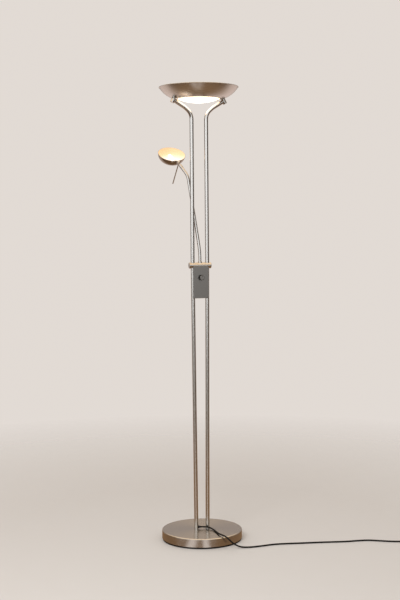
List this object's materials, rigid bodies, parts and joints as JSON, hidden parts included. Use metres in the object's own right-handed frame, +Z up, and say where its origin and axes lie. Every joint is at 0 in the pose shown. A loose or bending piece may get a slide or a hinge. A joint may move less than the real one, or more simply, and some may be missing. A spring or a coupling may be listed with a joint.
{
  "type": "floor lamp",
  "caption": "Torchiere floor lamp with a round weighted base, paired slim poles, a glass-bottomed uplight bowl, a dimmer box and an adjustable reading light on a bent arm",
  "frame": {"origin": "centre of the base's underside, on the floor", "axes": "+Z up; the two poles stand on the X axis; the dimmer knob faces -Y; +X is on the right of someone facing the knob"},
  "size_m": [1.0488, 0.503, 1.801],
  "materials": {
    "nickel": "satin nickel plated steel",
    "bowl_paint": "satin nickel lacquer, soft sheen",
    "black_steel": "satin black paint",
    "iron": "rough, black primed",
    "zinc": "bright zinc plated",
    "brass": "turned brass",
    "chrome": "polished",
    "black_plastic": "satin black",
    "white_plastic": "satin white",
    "frosted_glass": "frosted white",
    "lamp_glass": "clear, lit",
    "ceramic": "unglazed white",
    "shade_lacquer": "satin nickel outside, pale reflecting inside",
    "rubber": "matte black",
    "cord_sheath": "matte black round sheath",
    "lead_sheath": "pale grey insulation",
    "board": "circuit board"
  },
  "bodies": {
    "stand": {"base_tray": "black_steel", "base_weight": "iron", "base_cover": "nickel", "base_bolts": "zinc", "base_washers": "zinc", "foot_plugs": "zinc", "lower_tube_left": "nickel", "lower_tube_right": "nickel", "pole_joiners": "zinc", "upper_tube_left": "nickel", "upper_tube_right": "nickel", "bridge_bar": "nickel", "bridge_set_screws": "zinc", "switch_housing": "black_plastic", "switch_cover": "nickel", "cover_screws": "zinc", "housing_screws": "zinc", "dimmer_potentiometer": "black_plastic", "dimmer_bush_nut": "zinc", "dimmer_board": "board", "terminal_block": "white_plastic", "mains_lead": "lead_sheath", "uplight_lead": "lead_sheath", "uplight_bowl": "bowl_paint", "glass_diffuser": "frosted_glass", "glass_clips": "zinc", "clip_screws": "zinc", "bowl_studs": "nickel", "top_nipples": "zinc", "bowl_nipples": "zinc", "bowl_washers": "zinc", "bowl_nuts": "zinc", "lamp_bracket": "zinc", "lamp_sockets": "ceramic", "halogen_tube": "lamp_glass", "swivel_washers": "white_plastic", "cord_grommet": "rubber", "cord": "cord_sheath", "cord_coil": "cord_sheath", "cord_tie": "black_plastic", "plug_body": "rubber", "plug_pins": "brass"},
    "dimmer_knob": {"dimmer_shaft": "zinc", "dimmer_knob": "black_plastic", "knob_cap": "chrome"},
    "reading_arm": {"reading_arm": "nickel", "arm_swivel_stem": "zinc", "arm_collar": "nickel", "arm_swivel_nut": "zinc", "arm_end_stud": "zinc", "reading_lead": "lead_sheath"},
    "head_swivel": {"head_sleeve": "nickel", "sleeve_grub_screw": "zinc", "head_pivot_screw": "zinc"},
    "reading_head": {"head_lug": "nickel", "handle_rod": "nickel", "head_shell": "shade_lacquer", "head_socket": "ceramic", "reading_bulb": "lamp_glass"}
  },
  "joints": [
    {"name": "dimmer_turn", "type": "hinge", "parent": "stand", "child": "dimmer_knob", "pos_m": [0, -0.02, 1.041], "axis": [0, -1, 0], "range_deg": [0, 270]},
    {"name": "arm_swivel", "type": "hinge", "parent": "stand", "child": "reading_arm", "pos_m": [0, 0, 1.1], "axis": [0, 0, 1], "range_deg": [-112, 12]},
    {"name": "head_turn", "type": "hinge", "parent": "reading_arm", "child": "head_swivel", "pos_m": [-0.06941, 0.05824, 1.50131], "axis": [-0.4663, 0.3913, 0.7934], "range_deg": [-110, 150]},
    {"name": "head_tilt", "type": "hinge", "parent": "head_swivel", "child": "reading_head", "pos_m": [-0.06941, 0.05824, 1.50131], "axis": [0.8783, 0.3113, 0.3627], "range_deg": [0, 80]}
  ]
}
